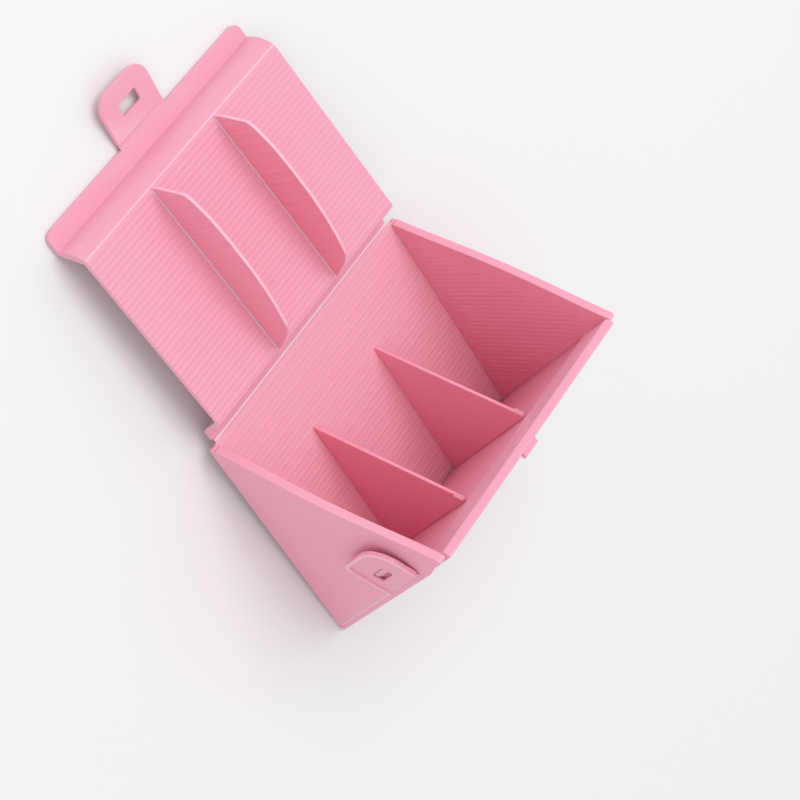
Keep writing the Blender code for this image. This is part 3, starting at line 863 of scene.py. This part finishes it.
def make_lid_fin(word, side):
    """A crescent on the lid, ribbed across, with a rounded edge that has a painted highlight."""
    root = PLUG_DEPTH - GAP - OVERLAP
    far_end = [(PLUG_END - FIN_TOE, 0.0122), (PLUG_END - FIN_TOE / 2, root)]
    edge = [(PLUG_START + OVERLAP, root)] + FIN_CREST + far_end
    outline = rounded([Vector((y, -depth)) for y, depth in edge], FIN_RADII, 5)
    middle = side * FIN_X
    fin = prism(outline, middle - DIVIDER / 2, middle + DIVIDER / 2, LID)
    lines = {1: [], -1: []}
    y = PLUG_START + FIN_RIB_START
    while y < PLUG_END - FIN_RIB_STOP:
        low = min(crest_depth(y - RIB_WIDTH / 2), crest_depth(y + RIB_WIDTH / 2)) - FIN_EDGE_GAP
        for face in lines:
            x = middle + face * DIVIDER / 2
            lines[face].append((Vector((x, y, -PLUG_DEPTH)), Vector((x, y, -low))))
        y += FIN_RIB_PITCH
    tools = [("UNION", bars(lines[face], Vector((face, 0, 0)), FIN_RIB_HEIGHT, LID)) for face in lines]
    fin = merged([finished("fin", fin, tools, width=0.0004, segments=3, angle=50)] + fin_fillets(middle))
    fin.name = "lid_fin_moulding_" + word
    # painted shade: the fin takes the redder pink of the hollows, and its edge the paler pink as a highlight
    place(fin, "lid", ["lid_fin_" + word], material=inner)
    tint(fin, rim, lambda face: abs(face.normal.x) < 0.5)


def fin_fillets(middle):
    """The small fillets on both sides of a fin's root; the panel's ribs run into them."""
    panel = GAP - PLUG_DEPTH
    made = []
    for face in (1, -1):
        root = middle + face * (DIVIDER / 2 - OVERLAP)
        toe = middle + face * (DIVIDER / 2 + FILLET)
        shape = [(root, panel + OVERLAP), (toe, panel + OVERLAP), (toe, panel - FILLET_TOE),
                 (root, panel - FILLET)]
        rings = [[Vector((x, y, z)) for x, z in shape] for y in (PLUG_START + FILLET, PLUG_END - FIN_TOE)]
        made.append(finished("fillet", loft(rings, LID)))
    return made


def crest_depth(y):
    """Depth of a fin's edge at y, between its crest points and down its two ends."""
    points = [(PLUG_START, 0.0100)] + FIN_CREST + [(PLUG_END, 0.0100)]
    for (y0, d0), (y1, d1) in zip(points, points[1:]):
        if y0 <= y <= y1:
            return d0 + (d1 - d0) * (y - y0) / (y1 - y0)
    return 0.0100


def make_lid_web():
    """The crease on which the lid turns, with a painted highlight along its axis; it is shaped bent from the
    back wall to the lid.
    """
    half = LID_WIDTH / 2
    lid_in_box = BOX.inverted() @ LID
    wall_low = back_point(HINGE_START, 0.0004)
    wall_high = back_point(HINGE_START, 0.0009)
    wall = [Vector((0, wall_low.x, wall_low.y)), Vector((0, wall_high.x, wall_high.y))]
    inward = back_point(0, 0.0002)
    middle = [Vector((0, HINGE_Y - inward.x, -inward.y)), Vector((0, HINGE_Y + inward.x, inward.y))]
    strip = [lid_in_box @ Vector((0, STRIP_START + 0.0004, z)) for z in (GAP + 0.0009, GAP + 0.0002)]
    web = finished("lid_hinge_web", loft(web_rings([wall, middle, strip], half), BOX))
    web.data.materials.append(plain)
    axis_at = BOX @ Vector((0, HINGE_Y, 0))
    # painted highlight: the faces near the hinge axis take the whitish pink
    tint(web, crease, lambda face: (face.center - axis_at).yz.length < HINGE_HIGHLIGHT_REACH)
    place_web(web, "lid_hinge")


# ---- the studio ---------------------------------------------------------------------------------------

def make_camera():
    """The camera stands where the section frame says, turned so that RIGHT is the picture's right."""
    data = bpy.data.cameras.new("camera")
    data.lens = LENS
    data.sensor_width = SENSOR
    camera = bpy.data.objects.new("camera", data)
    bpy.context.scene.collection.objects.link(camera)
    turned = BOX.to_3x3()
    back = -(turned @ LOOK).normalized()
    right = (turned @ RIGHT).normalized()
    up = back.cross(right).normalized()
    right = up.cross(back)
    camera.matrix_world = Matrix.Translation(BOX @ EYE) @ Matrix((right, up, back)).transposed().to_4x4()
    bpy.context.scene.camera = camera


def make_light(name, spot, target, size, power):
    """A round soft light at a spot, aimed at a target."""
    data = bpy.data.lights.new(name, "AREA")
    data.shape = "DISK"
    data.size = size
    data.energy = power
    lamp = bpy.data.objects.new(name, data)
    bpy.context.scene.collection.objects.link(lamp)
    lamp.location = spot
    lamp.rotation_mode = "QUATERNION"
    lamp.rotation_quaternion = (Vector(target) - Vector(spot)).to_track_quat("-Z", "Y")


def make_stage():
    """A plain pale floor just below the object, in an even white surrounding."""
    work = bmesh.new()
    bmesh.ops.create_grid(work, x_segments=1, y_segments=1, size=FLOOR_HALF)
    mesh = bpy.data.meshes.new("floor")
    work.to_mesh(mesh)
    work.free()
    floor = bpy.data.objects.new("floor", mesh)
    floor.location.z = cad_box[0].z - 0.0002
    bpy.context.scene.collection.objects.link(floor)
    material = bpy.data.materials.new("pale_floor")
    material.use_nodes = True
    shader = material.node_tree.nodes["Principled BSDF"]
    shader.inputs["Base Color"].default_value = (FLOOR_GREY, FLOOR_GREY, FLOOR_GREY, 1)
    shader.inputs["Roughness"].default_value = 0.85
    mesh.materials.append(material)
    world = bpy.data.worlds.new("studio")
    world.use_nodes = True
    world.node_tree.nodes["Background"].inputs["Color"].default_value = (1, 1, 1, 1)
    world.node_tree.nodes["Background"].inputs["Strength"].default_value = WORLD_STRENGTH
    bpy.context.scene.world = world


bpy.context.scene.view_settings.view_transform = "Standard"
make_camera()
make_stage()
make_light("key", KEY_SPOT, KEY_AIM, KEY_SIZE, KEY_POWER)

make_back_wall()
make_front_wall()
make_front_catch()
make_bottom_fold()
for word, side in (("left", 1), ("right", -1)):
    make_end_panel(word, side)
    make_corner_fold(word, side)
    make_divider(word, side)
    make_latch_nub(word, side)
    make_side_latch(word, side)
    make_lid_fin(word, side)
make_lid()
make_lid_latch()
make_lid_web()
